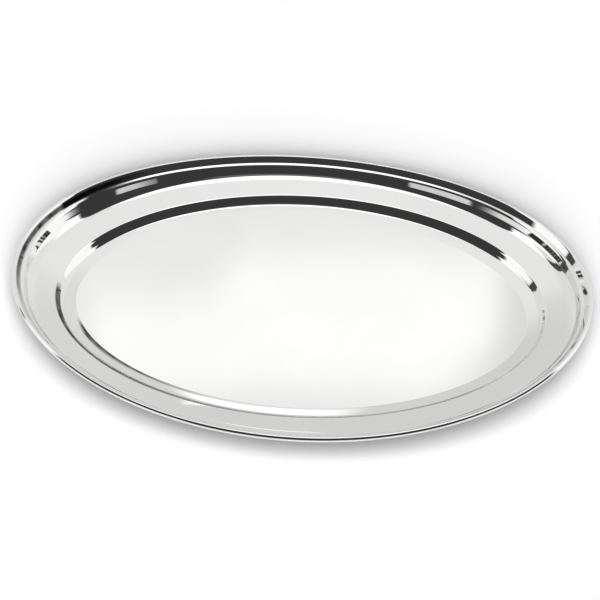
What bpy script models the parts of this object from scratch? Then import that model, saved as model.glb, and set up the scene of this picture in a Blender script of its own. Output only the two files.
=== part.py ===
"""Oval stainless-steel serving tray with a pressed well and a wired rim.

Blender 4.5, metres, +Z up, long axis along X, resting on the underside of the well at z = 0.
The tray is one pressed sheet.  Its section is drawn once, as a path of straights and bends from the
well floor to the rolled edge, thickened to the sheet gauge and swept round the oval.
"""
import math

import bmesh
import bpy
from mathutils import Vector

# Driving dimensions, in metres and degrees.
LENGTH = 0.450            # over the rolled edge, long axis
WIDTH = 0.312             # over the rolled edge, short axis
GAUGE = 0.0008            # sheet thickness
BORDER = 0.0495           # from the outermost line of the rim in to the well floor

FLOOR_EDGE_SLOPE = 6.4    # shallow crease where the flat floor ends
TOE_RADIUS = 0.3014       # the margin lifts very gently before the step
TOE_SLOPE = 8.0
STEP_FOOT_RADIUS = 0.0065
STEP_SLOPE = 48.0         # wall between well floor and flange
STEP_WALL = 0.0022
STEP_TOP_RADIUS = 0.0044

FLANGE_SLOPE = 13.0       # the flange climbs gently outwards
RIM_TOE_RADIUS = 0.021    # wide sweep where the raised rim leaves the flange
RIM_TOE_SLOPE = 31.0
RIM_FOOT_RADIUS = 0.0050
RIM_SLOPE = 60.0          # raised wall outside the flange
RIM_WALL = 0.0040
RIM_TOP_RADIUS = 0.0026
LIP_SLOPE = 20.0          # narrow land between the raised wall and the bead
LIP_WIDTH = 0.0014

BEAD_FOOT_RADIUS = 0.0010
BEAD_SLOPE = 52.0         # inner face of the bead, up to the curl
BEAD_FACE = 0.0047
ROLL_RADIUS = 0.00150     # of the curl, to the middle of the sheet
ROLL_TURN = 290.0         # how far the edge is curled round the wire
WIRE_GAP = 0.0004

END_RISE = 0.0051         # the rim stands this much higher at the ends, and lower along the sides

SIDES = 80                # facets round the oval
WIRE_SIDES = 8            # facets round the wire
BEND_STEP = 31.0          # largest bend per facet of the section, degrees


def bend(points, heading, radius, turn):
    """Add an arc to the path, upwards for a positive turn, and return its centre."""
    steps = max(1, math.ceil(abs(turn) / BEND_STEP))
    sign = 1.0 if turn > 0 else -1.0
    x, z = points[-1]
    h = math.radians(heading)
    cx = x - math.sin(h) * radius * sign
    cz = z + math.cos(h) * radius * sign
    for i in range(1, steps + 1):
        a = h + math.radians(turn) * i / steps
        points.append((cx + math.sin(a) * radius * sign, cz - math.cos(a) * radius * sign))
    return cx, cz


def straight(points, heading, length):
    """Add a straight run to the path."""
    x, z = points[-1]
    h = math.radians(heading)
    points.append((x + math.cos(h) * length, z + math.sin(h) * length))


def section_path(flange_length):
    """Middle line of the sheet from the edge of the well floor outwards.

    Also returns where the flange starts and the centre of the roll.
    """
    bends = (
        (TOE_RADIUS, TOE_SLOPE, 0.0),
        (STEP_FOOT_RADIUS, STEP_SLOPE, STEP_WALL),
        (STEP_TOP_RADIUS, FLANGE_SLOPE, flange_length),
        (RIM_TOE_RADIUS, RIM_TOE_SLOPE, 0.0),
        (RIM_FOOT_RADIUS, RIM_SLOPE, RIM_WALL),
        (RIM_TOP_RADIUS, LIP_SLOPE, LIP_WIDTH),
        (BEAD_FOOT_RADIUS, BEAD_SLOPE, BEAD_FACE),
    )
    points = [(0.0, 0.0)]
    heading = FLOOR_EDGE_SLOPE
    flange_start = 0.0
    for radius, slope, run in bends:
        bend(points, heading, radius, slope - heading)
        heading = slope
        if slope == FLANGE_SLOPE:
            flange_start = points[-1][0]
        if run > 0.0:
            straight(points, heading, run)
    centre = bend(points, heading, ROLL_RADIUS, -ROLL_TURN)
    return points, flange_start, centre


def fitted_path():
    """The path whose flange is exactly long enough to make the border BORDER wide."""
    centre = section_path(0.0)[2]
    short = BORDER - (centre[0] + ROLL_RADIUS + GAUGE / 2)
    return section_path(short / math.cos(math.radians(FLANGE_SLOPE)))


def thicken(points):
    """Outline of the sheet: its upper side and its lower side, both running outwards."""
    upper = []
    lower = []
    last = len(points) - 1
    for i, point in enumerate(points):
        here = Vector(point)
        before = (here - Vector(points[max(i - 1, 0)])).normalized()
        after = (Vector(points[min(i + 1, last)]) - here).normalized()
        if i == 0:
            before = Vector((1.0, 0.0))
            after = before
        if i == last:
            after = before
        along = (before + after).normalized()
        side = Vector((-along.y, along.x)) * (GAUGE / 2 / before.dot(along))
        upper.append(here + side)
        lower.append(here - side)
    return upper, lower


def place(outward, height, angle, flange_start):
    """Point of the tray for a section point, at one angle round the oval."""
    a = LENGTH / 2
    b = WIDTH / 2
    normal = Vector((b * math.cos(angle), a * math.sin(angle), 0.0)).normalized()
    point = Vector((a * math.cos(angle), b * math.sin(angle), 0.0))
    point -= normal * (BORDER - outward)
    share = max(0.0, outward - flange_start) / (BORDER - flange_start)
    point.z = height + GAUGE / 2 + END_RISE * share * math.cos(2.0 * angle)
    return point


def finish(name, bm, material):
    """Turn the bmesh into a named object with outward faces and smooth shading."""
    bmesh.ops.recalc_face_normals(bm, faces=bm.faces)
    mesh = bpy.data.meshes.new(name)
    bm.to_mesh(mesh)
    bm.free()
    for polygon in mesh.polygons:
        polygon.use_smooth = True
    mesh.materials.append(material)
    obj = bpy.data.objects.new(name, mesh)
    bpy.context.scene.collection.objects.link(obj)
    return obj


def steel(name, colour, roughness):
    """A stainless steel material."""
    material = bpy.data.materials.new(name)
    material.use_nodes = True
    shader = material.node_tree.nodes["Principled BSDF"]
    shader.inputs["Base Color"].default_value = (*colour, 1.0)
    shader.inputs["Metallic"].default_value = 1.0
    shader.inputs["Roughness"].default_value = roughness
    return material


def sweep(bm, outline, flange_start, closed):
    """Rings of vertices round the oval, one per outline point, joined by quads."""
    rings = []
    for outward, height in outline:
        ring = []
        for k in range(SIDES):
            angle = 2.0 * math.pi * k / SIDES
            ring.append(bm.verts.new(place(outward, height, angle, flange_start)))
        rings.append(ring)
    pairs = len(rings) if closed else len(rings) - 1
    for i in range(pairs):
        first = rings[i]
        second = rings[(i + 1) % len(rings)]
        for k in range(SIDES):
            n = (k + 1) % SIDES
            bm.faces.new((first[k], first[n], second[n], second[k]))
    return rings


def build_tray_body():
    """The pressed sheet, closed by its flat floor on both sides."""
    points, flange_start, _ = fitted_path()
    upper, lower = thicken(points)
    bm = bmesh.new()
    rings = sweep(bm, upper + lower[::-1], flange_start, closed=False)
    bm.faces.new(rings[0])
    bm.faces.new(rings[-1])
    return finish("tray_body", bm, steel("polished_stainless", (0.78, 0.78, 0.77), 0.06))


def build_rim_wire():
    """The closed wire loop inside the rolled edge."""
    _, flange_start, centre = fitted_path()
    radius = ROLL_RADIUS - GAUGE / 2 - WIRE_GAP
    section = []
    for i in range(WIRE_SIDES):
        a = 2.0 * math.pi * i / WIRE_SIDES
        section.append((centre[0] + math.cos(a) * radius, centre[1] + math.sin(a) * radius))
    bm = bmesh.new()
    sweep(bm, section, flange_start, closed=True)
    return finish("rim_wire", bm, steel("drawn_steel_wire", (0.55, 0.55, 0.56), 0.35))


def main():
    for obj in list(bpy.data.objects):
        bpy.data.objects.remove(obj, do_unlink=True)
    tray = bpy.data.objects.new("serving_tray", None)
    bpy.context.scene.collection.objects.link(tray)
    for obj in (build_tray_body(), build_rim_wire()):
        obj.parent = tray


main()
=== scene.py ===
import math

import bmesh
import bpy
import numpy as np
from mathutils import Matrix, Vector


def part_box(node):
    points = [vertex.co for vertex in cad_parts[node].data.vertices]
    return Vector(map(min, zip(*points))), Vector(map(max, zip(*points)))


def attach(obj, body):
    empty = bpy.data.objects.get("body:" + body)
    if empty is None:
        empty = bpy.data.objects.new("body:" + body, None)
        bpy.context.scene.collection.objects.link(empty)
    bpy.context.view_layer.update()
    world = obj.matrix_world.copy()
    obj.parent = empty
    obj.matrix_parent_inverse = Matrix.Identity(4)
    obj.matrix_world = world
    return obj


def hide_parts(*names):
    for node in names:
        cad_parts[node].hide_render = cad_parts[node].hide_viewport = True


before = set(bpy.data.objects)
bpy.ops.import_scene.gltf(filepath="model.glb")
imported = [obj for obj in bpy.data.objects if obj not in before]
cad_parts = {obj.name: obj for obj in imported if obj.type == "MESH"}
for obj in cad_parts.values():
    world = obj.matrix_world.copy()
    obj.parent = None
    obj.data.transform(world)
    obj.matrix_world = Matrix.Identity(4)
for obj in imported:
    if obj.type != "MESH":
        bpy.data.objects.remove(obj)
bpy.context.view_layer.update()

# ---------------------------------------------------------------- measurements
# Metres and degrees.  The section numbers are the ones that the CAD body is made with.
body_low, body_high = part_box("tray_body")
LENGTH = body_high[0] - body_low[0]
WIDTH = body_high[1] - body_low[1]
GAUGE = 0.0008
BORDER = 0.0495             # from the outermost line of the rim in to the well floor

FLOOR_EDGE_SLOPE = 6.4      # shallow crease where the flat floor ends
BENDS = (
    # bend radius, slope reached, straight run after it
    (0.3014, 8.0, 0.0),       # margin of the well
    (0.0065, 48.0, 0.0022),   # foot and wall of the step
    (0.0044, 13.0, None),     # top of the step, then the flange
    (0.021, 31.0, 0.0),       # sweep into the raised rim
    (0.0050, 60.0, 0.0040),   # foot and wall of the rim
    (0.0026, 20.0, 0.0014),   # top of the wall and the lip
    (0.0010, 52.0, 0.0047),   # inner face of the bead
)
STEP_WALL, STEP_TOP, LIP = 1, 2, 5    # rows of BENDS that the painted shade lines in the creases refer to
FLANGE_SLOPE = BENDS[STEP_TOP][1]
ROLL_RADIUS = 0.0015        # of the curl, to the middle of the sheet
ROLL_TURN = 290.0
WIRE_GAP = 0.0004
END_RISE = 0.0051           # the rim stands this much higher at the ends, and lower along the sides
WELL_TURN = math.radians(2.2)    # the well lies slightly turned within the rim

# How finely the surfaces are made.
AROUND = 720                # points round the oval
FINE_STEP = 1.6             # degrees of bend between two points of the section, on the upper side
COARSE_STEP = 6.0           # the same on the lower side
ROLL_STEP = 5.0             # the same on the curl
ARC_PER_DEGREE = 0.0003     # longest arc between two points, for each degree of the step
STRAIGHT_SHARES = (0.03, 0.25, 0.5, 0.75, 0.97, 1.0)    # points along a straight run
WIRE_SIDES = 20
FLOOR_RINGS = 24
FLOOR_SPREAD = 0.8          # power that spaces the floor's rings, 1.0 for even spacing
FLOOR_REACH = 0.1           # section distance over which the floor's rings shrink to the centre
CREASE_WIDTH = 0.0001


# ---------------------------------------------------------------- section of the sheet
def bend(points, heading, radius, turn, step):
    """Add an arc to the path, upwards for a positive turn, and return its centre."""
    arc = radius * math.radians(abs(turn))
    steps = max(4, math.ceil(abs(turn) / step), math.ceil(arc / (ARC_PER_DEGREE * step)))
    sign = 1.0 if turn > 0 else -1.0
    x, z = points[-1]
    h = math.radians(heading)
    cx = x - math.sin(h) * radius * sign
    cz = z + math.cos(h) * radius * sign
    for i in range(1, steps + 1):
        a = h + math.radians(turn) * i / steps
        points.append((cx + math.sin(a) * radius * sign, cz - math.cos(a) * radius * sign))
    return cx, cz


def section_path(flange_length, step):
    """Middle line of the sheet from the floor's edge to the end of the curl.

    Also returns where the flange starts, the centre of the curl, and the index of the point where each bend
    ends, with the start of the curl last.
    """
    points = [(0.0, 0.0)]
    heading = FLOOR_EDGE_SLOPE
    flange_start = 0.0
    marks = []
    for radius, slope, run in BENDS:
        bend(points, heading, radius, slope - heading, step)
        heading = slope
        marks.append(len(points) - 1)
        if run is None:
            flange_start = points[-1][0]
            run = flange_length
        if run > 0.0:
            x, z = points[-1]
            for share in STRAIGHT_SHARES:
                points.append((x + math.cos(math.radians(heading)) * run * share,
                               z + math.sin(math.radians(heading)) * run * share))
    marks.append(len(points) - 1)
    centre = bend(points, heading, ROLL_RADIUS, -ROLL_TURN, max(step, ROLL_STEP))
    return points, flange_start, centre, marks


def fitted_path(step):
    """The path whose flange is exactly long enough to make the border BORDER wide."""
    centre = section_path(0.0, step)[2]
    short = BORDER - (centre[0] + ROLL_RADIUS + GAUGE / 2)
    return section_path(short / math.cos(math.radians(FLANGE_SLOPE)), step)


def thicken(points):
    """Upper and lower side of the sheet, as arrays running outwards."""
    p = np.array(points)
    along = np.gradient(p, axis=0)
    along /= np.linalg.norm(along, axis=1)[:, None]
    side = np.stack([-along[:, 1], along[:, 0]], axis=1) * GAUGE / 2
    return p + side, p - side


def place(section, flange_start):
    """World points of section points swept round the oval, as an array (section, around, 3)."""
    angle = np.linspace(0.0, 2.0 * math.pi, AROUND, endpoint=False)
    a = LENGTH / 2
    b = WIDTH / 2
    edge = np.stack([a * np.cos(angle), b * np.sin(angle)], axis=1)
    normal = np.stack([b * np.cos(angle), a * np.sin(angle)], axis=1)
    normal /= np.linalg.norm(normal, axis=1)[:, None]
    inward = BORDER - np.maximum(section[:, 0], 0.0)
    plan = edge[None] - normal[None] * inward[:, None, None]
    plan *= np.clip(1.0 + section[:, 0] / FLOOR_REACH, 0.0, 1.0)[:, None, None]
    share = np.maximum(0.0, section[:, 0] - flange_start) / (BORDER - flange_start)
    turn = WELL_TURN * (1.0 - share)
    c = np.cos(turn)[:, None]
    s = np.sin(turn)[:, None]
    x = plan[..., 0] * c - plan[..., 1] * s
    y = plan[..., 0] * s + plan[..., 1] * c
    rise = END_RISE * share[:, None] * np.cos(2.0 * angle)[None]
    z = section[:, 1][:, None] + GAUGE / 2 + rise
    return np.stack([x, y, z], axis=-1)


# ---------------------------------------------------------------- meshes
def swept_mesh(name, rings, closed, second_from=None):
    """Mesh object from rings of points.

    A closed section joins its last ring to its first; an open one is closed on the middle point of each end
    ring.  Faces from ring second_from on take the second material.
    """
    count, around, _ = rings.shape
    verts = rings.reshape(-1, 3).tolist()
    k = np.arange(around)
    n = (k + 1) % around
    faces = []
    slots = []
    for i in range(count if closed else count - 1):
        j = (i + 1) % count
        faces += np.stack([i * around + k, i * around + n, j * around + n, j * around + k], axis=1).tolist()
        slots += [1 if second_from is not None and i >= second_from else 0] * around
    if not closed:
        for ring in (0, count - 1):
            middle = len(verts)
            verts.append(rings[ring].mean(axis=0).tolist())
            faces += [(ring * around + u, ring * around + v, middle) for u, v in zip(k.tolist(), n.tolist())]
            slots += [0 if ring == 0 else 1] * around
    mesh = bpy.data.meshes.new(name)
    mesh.from_pydata(verts, [], faces)
    mesh.polygons.foreach_set("use_smooth", [True] * len(faces))
    mesh.polygons.foreach_set("material_index", slots)
    mesh.update()
    obj = bpy.data.objects.new(name, mesh)
    bpy.context.scene.collection.objects.link(obj)
    face_out(mesh)
    return obj


def face_out(mesh):
    """Turn every face outwards."""
    bm = bmesh.new()
    bm.from_mesh(mesh)
    bmesh.ops.recalc_face_normals(bm, faces=bm.faces)
    bm.to_mesh(mesh)
    bm.free()


def broken_line(value, points):
    """Straight lines between (at, height) points, for arrays."""
    at, height = zip(*points)
    return np.interp(value, at, height)


def painted_crease_shade(upper, marks):
    """Painted shade and painted dark reflections along the creases, as an array (section, around)."""
    run = np.concatenate([[0.0], np.cumsum(np.linalg.norm(np.diff(upper, axis=0), axis=1))])
    angle = np.degrees(np.linspace(0.0, 2.0 * math.pi, AROUND, endpoint=False))
    straight = len(STRAIGHT_SHARES)
    wall_top = run[marks[STEP_WALL] + straight]
    top_end = run[marks[STEP_TOP]]
    lip_end = run[marks[LIP] + straight]
    face_end = run[marks[-1]]
    mm = 0.001
    # Each line has four places along the section (starts, full, still full, ends), then (degrees, strength)
    # points round the oval, where 0 is the right end and 270 the front.
    # Every line below is painted shade or a painted dark reflection, not a mark on the steel.
    lines = (
        # painted shade along the outer edge of the step, fading towards the front
        ((wall_top - 1.2 * mm, wall_top - 0.6 * mm, top_end - 0.5 * mm, top_end + 0.3 * mm),
         ((176, 0.0), (181, 1.0), (225, 1.0), (245, 0.8), (270, 0.5), (285, 0.3), (297, 0.0))),
        # the same, wider at its left end
        ((wall_top - 2.4 * mm, wall_top - 1.6 * mm, top_end - 0.5 * mm, top_end + 0.3 * mm),
         ((178, 0.0), (184, 1.0), (197, 1.0), (206, 0.0))),
        # painted shade along the edge of the well floor at the left front
        ((0.0, 0.3 * mm, 2.0 * mm, 2.8 * mm),
         ((197, 0.0), (203, 1.0), (232, 0.9), (252, 0.0))),
        # the same, wider at its left end
        ((0.5 * mm, 0.9 * mm, 3.2 * mm, 4.4 * mm),
         ((201, 0.0), (208, 1.0), (216, 0.8), (232, 0.0))),
        # painted shade in the groove between the lip and the bead
        ((lip_end - 0.5 * mm, lip_end, lip_end + 0.5 * mm, lip_end + 1.2 * mm),
         ((0, 0.0), (150, 0.0), (180, 0.6), (235, 0.0), (290, 0.2), (315, 0.7), (340, 0.5), (360, 0.0))),
        # painted dark reflection on the inner face of the bead at the left end
        ((lip_end, lip_end + 1.0 * mm, face_end - 0.6 * mm, face_end),
         ((125, 0.0), (138, 1.0), (178, 1.0), (190, 0.7), (205, 0.0))),
    )
    dark = np.zeros((len(upper), AROUND))
    for (starts, full, still_full, ends), around in lines:
        along = broken_line(run, ((starts, 0.0), (full, 1.0), (still_full, 1.0), (ends, 0.0)))
        dark = np.maximum(dark, along[:, None] * broken_line(angle, around)[None])
    return dark


def build_tray():
    """The pressed sheet: a fine upper side, a coarser lower side and the flat floor on both."""
    points, flange_start, _, marks = fitted_path(FINE_STEP)
    upper = thicken(points)[0]
    lower = thicken(fitted_path(COARSE_STEP)[0])[1]
    rings = np.linspace(0.0, 1.0, FLOOR_RINGS + 2)[1:-1] ** FLOOR_SPREAD
    floor = np.append(FLOOR_REACH * (rings - 1.0), -CREASE_WIDTH)
    top_floor = np.stack([floor, np.full_like(floor, upper[0, 1])], axis=1)
    under_floor = np.stack([floor, np.full_like(floor, lower[0, 1])], axis=1)
    first_run = upper[1] - upper[0]
    edge = upper[0] + first_run * CREASE_WIDTH / np.linalg.norm(first_run)
    section = np.concatenate([top_floor, upper[:1], edge[None], upper[1:], lower[::-1], under_floor[::-1]])
    inner = len(top_floor)
    obj = swept_mesh("pressed_tray", place(section, flange_start), False, inner + 1 + len(upper))
    # painted shade and painted dark reflections along the creases, kept on the mesh for the polished material
    dark = np.zeros((len(section), AROUND))
    dark[inner + 1:inner + 1 + len(upper)] = painted_crease_shade(upper, marks)
    dark[inner] = dark[inner + 1]
    values = np.zeros(len(obj.data.vertices))
    values[:dark.size] = dark.ravel()
    layer = obj.data.attributes.new("painted_shade_lines", "FLOAT", "POINT")
    layer.data.foreach_set("value", values)
    return obj


def build_wire():
    """The closed wire loop inside the curl."""
    _, flange_start, centre, _ = fitted_path(COARSE_STEP)
    radius = ROLL_RADIUS - GAUGE / 2 - WIRE_GAP
    a = np.linspace(0.0, 2.0 * math.pi, WIRE_SIDES, endpoint=False)
    section = np.stack([centre[0] + radius * np.cos(a), centre[1] + radius * np.sin(a)], axis=1)
    return swept_mesh("edge_wire", place(section, flange_start), True)


# ---------------------------------------------------------------- node helpers
class Nodes:
    """Small helper for building node trees."""

    def __init__(self, tree):
        self.tree = tree

    def add(self, kind, **settings):
        node = self.tree.nodes.new(kind)
        for key, value in settings.items():
            setattr(node, key, value)
        return node

    def link(self, output, socket):
        self.tree.links.new(output, socket)

    def feed(self, socket, value):
        """Set a socket to a plain number, or link an output to it."""
        if isinstance(value, (int, float)):
            socket.default_value = value
        else:
            self.link(value, socket)

    def math(self, operation, *values):
        node = self.add("ShaderNodeMath", operation=operation)
        for socket, value in zip(node.inputs, values):
            self.feed(socket, value)
        return node.outputs[0]

    def ramp(self, value, low, high, to_low=0.0, to_high=1.0):
        """Smooth step from to_low at low to to_high at high."""
        node = self.add("ShaderNodeMapRange", interpolation_type="SMOOTHSTEP")
        self.link(value, node.inputs[0])
        for socket, number in zip(node.inputs[1:5], (low, high, to_low, to_high)):
            socket.default_value = number
        return node.outputs[0]

    def curve(self, value, points, low, high):
        """Straight lines between (input, output) points; outputs lie between low and high."""
        node = self.add("ShaderNodeFloatCurve")
        line = node.mapping.curves[0]
        while len(line.points) < len(points):
            line.points.new(0.5, 0.5)
        for handle, (at, height) in zip(line.points, points):
            handle.location = (at, (height - low) / (high - low))
            handle.handle_type = "VECTOR"
        node.mapping.update()
        self.link(value, node.inputs["Value"])
        return self.math("MULTIPLY_ADD", node.outputs[0], high - low, low)

    def window(self, value, low, high, soft):
        """One between low and high, zero outside, with soft edges."""
        rise = self.ramp(value, low - soft / 2, low + soft / 2)
        fall = self.ramp(value, high - soft / 2, high + soft / 2, 1.0, 0.0)
        return self.math("MULTIPLY", rise, fall)

    def mix(self, factor, first, second):
        """first where factor is 0, second where it is 1."""
        node = self.add("ShaderNodeMix", data_type="FLOAT")
        self.link(factor, node.inputs[0])
        self.feed(node.inputs[2], first)
        self.feed(node.inputs[3], second)
        return node.outputs[0]

    def noise(self, vector, scale, detail=2.0):
        node = self.add("ShaderNodeTexNoise")
        node.inputs["Scale"].default_value = scale
        node.inputs["Detail"].default_value = detail
        self.link(vector, node.inputs["Vector"])
        return node.outputs[0]

    def stretched(self, vector, along, across):
        """Vector scaled so that noise on it runs in lines along the tray's long axis."""
        node = self.add("ShaderNodeMapping")
        node.inputs["Scale"].default_value = (along, across, across)
        self.link(vector, node.inputs["Vector"])
        return node.outputs[0]

    def tones(self, value, low, dark, high, light):
        """Grey colours from dark at low to light at high, each a red, green, blue triple."""
        node = self.add("ShaderNodeValToRGB")
        for element, at, colour in zip(node.color_ramp.elements, (low, high), (dark, light)):
            element.position = at
            element.color = (*colour, 1.0)
        self.link(value, node.inputs[0])
        return node.outputs[0]

    def grey(self, value):
        node = self.add("ShaderNodeCombineColor")
        for socket in node.inputs[0:3]:
            self.link(value, socket)
        return node.outputs[0]


def new_material(name):
    """Material with its helper, its shader and its object coordinates."""
    material = bpy.data.materials.new(name)
    material.use_nodes = True
    nodes = Nodes(material.node_tree)
    where = nodes.add("ShaderNodeTexCoord").outputs["Object"]
    return material, nodes, material.node_tree.nodes["Principled BSDF"], where


# ---------------------------------------------------------------- materials
def polished_steel():
    """Mirror polish with faint hairlines, and painted shade and painted dark reflections as dark lines in the
    creases.
    """
    material, n, shader, where = new_material("polished_stainless")
    shader.inputs["Metallic"].default_value = 1.0
    # broad unevenness of the polish
    tone = n.tones(n.noise(where, 14.0, 3.0), 0.3, (0.800, 0.800, 0.792), 0.7, (0.830, 0.830, 0.825))
    # the mesh's crease attribute says where the painted shade and painted dark reflection lines are
    painted_shade_lines = n.add("ShaderNodeAttribute", attribute_name="painted_shade_lines").outputs["Fac"]
    painted_shade = n.math("MULTIPLY", painted_shade_lines, n.ramp(n.noise(where, 120.0), 0.2, 0.7, 0.8, 1.0))
    # near-black painted shade mixed into the steel colour along the creases
    painted_shade_mix = n.add("ShaderNodeMix", data_type="RGBA")
    n.link(painted_shade, painted_shade_mix.inputs[0])
    n.link(tone, painted_shade_mix.inputs[6])
    painted_shade_mix.inputs[7].default_value = (0.025, 0.025, 0.024, 1.0)
    n.link(painted_shade_mix.outputs[2], shader.inputs["Base Color"])
    # hairline marks of the buffing wheel, as gloss
    hair = n.noise(n.stretched(where, 30.0, 900.0), 1.0, 4.0)
    n.link(n.ramp(hair, 0.35, 0.75, 0.027, 0.036), shader.inputs["Roughness"])
    return material


def satin_steel():
    """Unpolished underside with a rolled grain."""
    material, n, shader, where = new_material("satin_underside")
    shader.inputs["Metallic"].default_value = 1.0
    grain = n.noise(n.stretched(where, 24.0, 1400.0), 1.0, 5.0)
    tone = n.tones(grain, 0.25, (0.60, 0.60, 0.59), 0.75, (0.74, 0.74, 0.73))
    n.link(tone, shader.inputs["Base Color"])
    n.link(n.ramp(grain, 0.2, 0.8, 0.22, 0.36), shader.inputs["Roughness"])
    bump = n.add("ShaderNodeBump")
    bump.inputs["Strength"].default_value = 0.15
    bump.inputs["Distance"].default_value = 0.0001
    n.link(grain, bump.inputs["Height"])
    n.link(bump.outputs[0], shader.inputs["Normal"])
    return material


def wire_steel():
    """Dull drawn wire with mill scale."""
    material, n, shader, where = new_material("drawn_wire")
    shader.inputs["Metallic"].default_value = 1.0
    scale = n.noise(where, 260.0, 4.0)
    tone = n.tones(scale, 0.0, (0.38, 0.38, 0.38), 1.0, (0.58, 0.58, 0.57))
    n.link(tone, shader.inputs["Base Color"])
    n.link(n.ramp(scale, 0.3, 0.7, 0.3, 0.5), shader.inputs["Roughness"])
    return material


def pale_floor():
    """White paper, darkened close to the tray by painted shade."""
    material, n, shader, where = new_material("pale_floor")
    shader.inputs["Roughness"].default_value = 0.9
    shader.inputs["Specular IOR Level"].default_value = 0.0
    paper_and_painted_shade = n.ramp(n.noise(where, 3.0), 0.3, 0.7, 0.90, 0.91)
    # painted shade: the floor colour is darkened where ambient occlusion finds the tray close
    shade = n.add("ShaderNodeAmbientOcclusion", samples=16)
    shade.inputs["Distance"].default_value = 0.045
    paper_and_painted_shade = n.math("MULTIPLY", paper_and_painted_shade, n.ramp(shade.outputs["AO"], 0.15, 0.85, 0.40, 1.0))
    n.link(n.grey(paper_and_painted_shade), shader.inputs["Base Color"])
    return material


# ---------------------------------------------------------------- object
tray = build_tray()
tray.data.materials.append(polished_steel())
tray.data.materials.append(satin_steel())
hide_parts("tray_body")
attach(tray, "root")

wire = build_wire()
wire.data.materials.append(wire_steel())
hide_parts("rim_wire")
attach(wire, "root")


# ---------------------------------------------------------------- floor
FLOOR_HALF = 9.0
FLOOR_CELLS = 60


def build_floor():
    """Flat square of paper, in cells."""
    mesh = bpy.data.meshes.new("floor")
    xs = np.linspace(-FLOOR_HALF, FLOOR_HALF, FLOOR_CELLS + 1)
    verts = [(x, y, 0.0) for y in xs for x in xs]
    row = FLOOR_CELLS + 1
    faces = [(j * row + i, j * row + i + 1, (j + 1) * row + i + 1, (j + 1) * row + i)
             for j in range(FLOOR_CELLS) for i in range(FLOOR_CELLS)]
    mesh.from_pydata(verts, [], faces)
    mesh.materials.append(pale_floor())
    obj = bpy.data.objects.new("floor", mesh)
    bpy.context.scene.collection.objects.link(obj)
    return obj


floor = build_floor()

# ---------------------------------------------------------------- view
VIEW_TURN = math.radians(7.61)      # the camera stands this far round from straight in front
VIEW_LIFT = math.radians(44.62)     # and this far up


def towards(lift):
    """Unit vector from the tray to the camera's side, at a lift above the horizon in radians."""
    return Vector((math.sin(VIEW_TURN) * math.cos(lift), -math.cos(VIEW_TURN) * math.cos(lift), math.sin(lift)))


def aim(obj, away):
    """Turn a camera or a light to look against the direction it lies in."""
    obj.rotation_euler = (-away).to_track_quat("-Z", "Y").to_euler()


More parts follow.
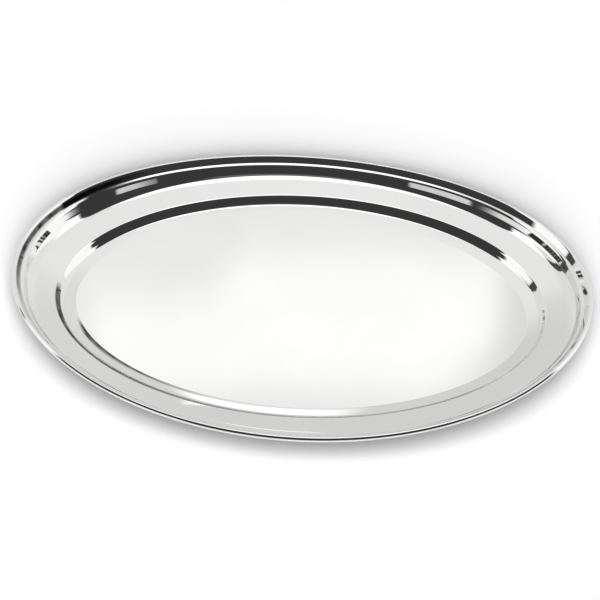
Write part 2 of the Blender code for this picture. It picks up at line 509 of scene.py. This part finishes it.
# ---------------------------------------------------------------- studio
class Studio(Nodes):
    """A white tent with a dark opening on the camera's side, as brightness by direction.

    Directions are in degrees: side is 0 straight behind the tray and positive to the right, turn is side
    without its sign, lift is the height above the horizon.  Brightness 1.0 is white paper.
    """

    def __init__(self, tree):
        super().__init__(tree)
        spin = self.add("ShaderNodeMapping")
        spin.inputs["Rotation"].default_value = (0.0, 0.0, -VIEW_TURN)
        self.link(self.add("ShaderNodeTexCoord").outputs["Generated"], spin.inputs["Vector"])
        axes = self.add("ShaderNodeSeparateXYZ")
        self.link(spin.outputs[0], axes.inputs[0])
        right, self.back, self.up = axes.outputs
        degrees = 180.0 / math.pi
        self.side = self.math("MULTIPLY", self.math("ARCTAN2", right, self.back), degrees)
        self.turn = self.math("ABSOLUTE", self.side)
        self.lift = self.math("MULTIPLY", self.math("ARCSINE", self.up), degrees)
        self.level = self.walls()

    def cover(self, mask, value):
        """Paint a brightness where the mask is 1."""
        self.level = self.mix(mask, self.level, value)

    def panel(self, value, sides, lifts, soft_side, soft_lift):
        """Paint a soft-edged rectangle."""
        self.cover(self.math("MULTIPLY", self.window(self.side, *sides, soft_side),
                             self.window(self.lift, *lifts, soft_lift)), value)

    def walls(self):
        """Walls of the tent, a little brighter on the right and to the sides."""
        level = self.ramp(self.side, -6.0, 12.0, 0.76, 0.81)
        return self.math("ADD", level, self.ramp(self.turn, 22.0, 40.0, 0.0, 0.10))

    def bright_sides(self):
        """White cloth overhead, and a lit panel at each side."""
        self.cover(self.ramp(self.lift, 38.0, 48.0), 0.96)
        self.cover(self.window(self.side, -108.0, -76.0, 5.0), 1.18)
        self.cover(self.window(self.side, 64.0, 102.0, 5.0), 1.16)

    def card(self):
        """Small bright card straight behind, which the front margin of the well shows."""
        self.panel(1.30, (0.0, 2.4), (29.3, 33.0), 0.7, 0.7)

    def well_glow(self):
        """What the flat of the well shows: an even panel, a brighter patch on it and a fade to the right."""
        side, lift = self.side, self.lift
        self.panel(0.995, (-6.5, 6.5), (41.0, 58.0), 3.0, 2.0)
        # lower edge of the patch, wavy towards the left
        edge = self.math("MULTIPLY_ADD", self.window(side, -3.4, -1.4, 1.2), 0.6, 43.95)
        edge = self.math("MULTIPLY_ADD", self.ramp(side, -3.9, -2.9, 1.0, 0.0), 0.5, edge)
        glow = self.ramp(self.math("SUBTRACT", lift, edge), -0.5, 0.5)
        glow = self.math("MULTIPLY", glow, self.ramp(lift, 45.5, 46.3, 1.0, 0.0))
        # right edge, which leans inwards higher up
        above = self.math("MAXIMUM", self.math("SUBTRACT", lift, 44.9), 0.0)
        right_edge = self.math("MULTIPLY_ADD", above, -1.3, 4.2)
        past_edge = self.math("SUBTRACT", side, right_edge)
        glow = self.math("MULTIPLY", glow, self.ramp(past_edge, -0.4, 0.5, 1.0, 0.0))
        glow = self.math("MULTIPLY", glow, self.ramp(side, -4.6, -3.8))
        self.level = self.math("ADD", self.level, self.math("MULTIPLY", glow, 0.21))
        self.panel(0.85, (4.1, 14.0), (37.0, 50.0), 1.1, 6.0)

    def high_panels(self):
        """Strong white panel high at the back, and one high at each side."""
        sill = self.ramp(self.turn, 4.0, 16.0, 61.0, 65.5)
        self.cover(self.ramp(self.math("SUBTRACT", self.lift, sill), -1.0, 2.0), 1.6)
        at_side = self.window(self.turn, 56.0, 102.0, 6.0)
        self.cover(self.math("MULTIPLY", at_side, self.ramp(self.lift, 44.0, 50.0)), 1.35)

    def opening(self):
        """Dark opening that starts above a low wall on the camera's side and reaches over the top."""
        low_wall = self.ramp(self.lift, 0.0, 24.0, 0.86, 0.66)
        self.cover(self.ramp(self.turn, 96.0, 110.0), low_wall)
        # its far edge, as how far back it reaches at each height
        reach = self.curve(self.math("MAXIMUM", self.up, 0.0),
                           ((0.0, -0.139), (0.44, -0.125), (0.64, -0.09), (0.72, 0.0), (0.80, 0.115),
                            (0.885, 0.31), (0.93, 0.27), (0.99, 0.13), (1.0, 0.12)), -0.2, 0.4)
        inside = self.ramp(self.math("SUBTRACT", reach, self.back), -0.025, 0.025)
        # the wall below it is higher in one stretch at each side
        wall_top = self.math("MULTIPLY_ADD", self.window(self.turn, 127.0, 146.0, 6.0), 11.0, 9.0)
        above_wall = self.ramp(self.math("SUBTRACT", self.lift, wall_top), -3.0, 1.0)
        inside = self.math("MULTIPLY", inside, above_wall)
        # dark, with a dim spot overhead
        self.cover(inside, self.ramp(self.up, 0.982, 0.996, 0.045, 0.16))

    def leaning_strip(self):
        """Narrow dark strip that leans in on the left."""
        lean = self.ramp(self.lift, 16.0, 46.0, -72.0, -59.0)
        strip = self.window(self.math("SUBTRACT", self.side, lean), -3.5, 3.5, 1.5)
        self.cover(self.math("MULTIPLY", strip, self.ramp(self.lift, 43.0, 46.0, 1.0, 0.0)), 0.07)

    def only_in_the_polish(self):
        """Plain white to the camera, and no light on the floor."""
        path = self.add("ShaderNodeLightPath").outputs
        self.cover(path["Is Camera Ray"], 1.0)
        self.cover(self.math("MINIMUM", path["Diffuse Depth"], 1.0), 0.0)


def build_world():
    world = bpy.data.worlds.new("studio")
    world.use_nodes = True
    bpy.context.scene.world = world
    studio = Studio(world.node_tree)
    studio.bright_sides()
    studio.card()
    studio.well_glow()
    studio.high_panels()
    studio.opening()
    studio.leaning_strip()
    studio.only_in_the_polish()
    background = world.node_tree.nodes["Background"]
    studio.link(studio.grey(studio.level), background.inputs["Color"])


FLOOR_LIGHT = 1.92
FLOOR_LIGHTS = (
    # degrees above the camera's own height, share of FLOOR_LIGHT
    (-15.0, 1.9),
    (0.0, 1.0),
    (14.0, 0.2),
)


def add_floor_lights():
    """Broad soft light from the camera's side at three heights, for the floor only."""
    for above, share in FLOOR_LIGHTS:
        light = bpy.data.lights.new("front_light", "SUN")
        light.energy = FLOOR_LIGHT * share
        light.angle = math.radians(40.0)
        obj = bpy.data.objects.new("front_light", light)
        away = towards(VIEW_LIFT + math.radians(above))
        obj.location = away * 4.0
        aim(obj, away)
        obj.visible_glossy = False
        bpy.context.scene.collection.objects.link(obj)


build_world()
add_floor_lights()

# ---------------------------------------------------------------- camera
LENS_MM = 240.0
SENSOR_MM = 36.0
CAMERA_DISTANCE = 3.097
TARGET_HEIGHT = 0.010
TARGET_LEFT = 0.00085       # the view is centred this far to the left of the tray's middle
TARGET_UP = 0.0004


def build_camera():
    data = bpy.data.cameras.new("camera")
    data.sensor_width = SENSOR_MM
    data.lens = LENS_MM
    data.clip_end = 100.0
    obj = bpy.data.objects.new("camera", data)
    bpy.context.scene.collection.objects.link(obj)
    away = towards(VIEW_LIFT)
    right = Vector((math.cos(VIEW_TURN), math.sin(VIEW_TURN), 0.0))
    up = away.cross(right)
    target = Vector((0.0, 0.0, TARGET_HEIGHT)) - right * TARGET_LEFT + up * TARGET_UP
    obj.location = target + away * CAMERA_DISTANCE
    aim(obj, away)
    bpy.context.scene.camera = obj


build_camera()
bpy.context.scene.view_settings.view_transform = "Standard"
